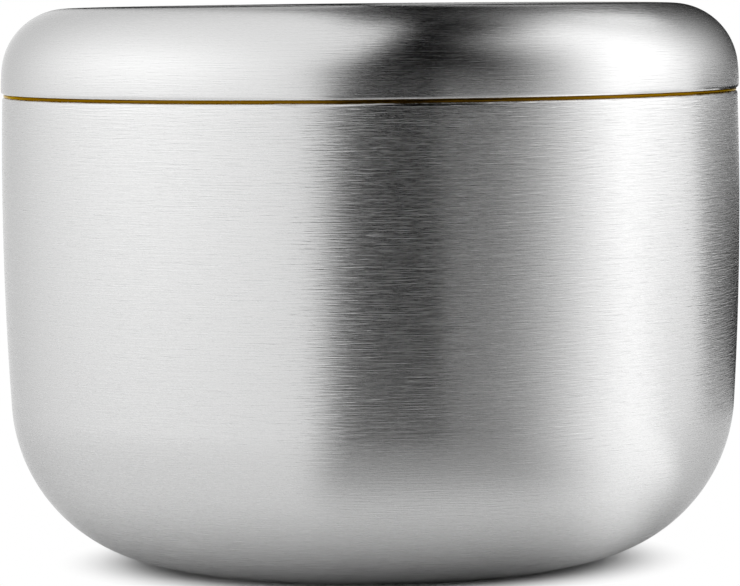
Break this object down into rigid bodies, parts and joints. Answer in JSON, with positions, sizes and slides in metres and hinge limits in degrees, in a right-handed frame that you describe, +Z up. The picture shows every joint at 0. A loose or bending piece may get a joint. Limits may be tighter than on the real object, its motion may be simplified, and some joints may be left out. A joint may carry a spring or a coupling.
{
  "type": "insulated bowl with lid",
  "caption": "Round insulated serving bowl in brushed stainless steel, vacuum-walled, with a lift-off foam-filled plug lid, a silicone seal and a gold-toned ring in the seam.",
  "frame": {"origin": "centre of the standing ring, on the surface that the bowl stands on", "axes": "+Z up along the axis that every pressed piece is turned about; the side that the picture shows faces -Y"},
  "size_m": [0.22, 0.22, 0.166],
  "materials": {
    "brushed_steel": "satin",
    "satin_steel": "satin",
    "gold_tone": "polished",
    "foil": "polished",
    "getter": "matte",
    "solder_glass": "gloss",
    "foam": "matte",
    "silicone": "matte"
  },
  "bodies": {
    "bowl": {"outer_shell": "brushed_steel", "inner_liner": "satin_steel", "rim_ring": "gold_tone", "radiation_shield_wall": "foil", "radiation_shield_floor": "foil", "getter_pill": "getter", "getter_clip": "satin_steel", "vacuum_base_plate": "satin_steel", "pump_out_seal": "solder_glass", "base_cover": "brushed_steel"},
    "lid": {"lid_cover": "brushed_steel", "lid_pan": "satin_steel", "lid_insulation": "foam", "lid_seal": "silicone"}
  },
  "joints": [
    {"name": "lid_lift", "type": "slide", "parent": "bowl", "child": "lid", "axis": [0, 0, 1], "range_m": [0, 0.16]}
  ]
}
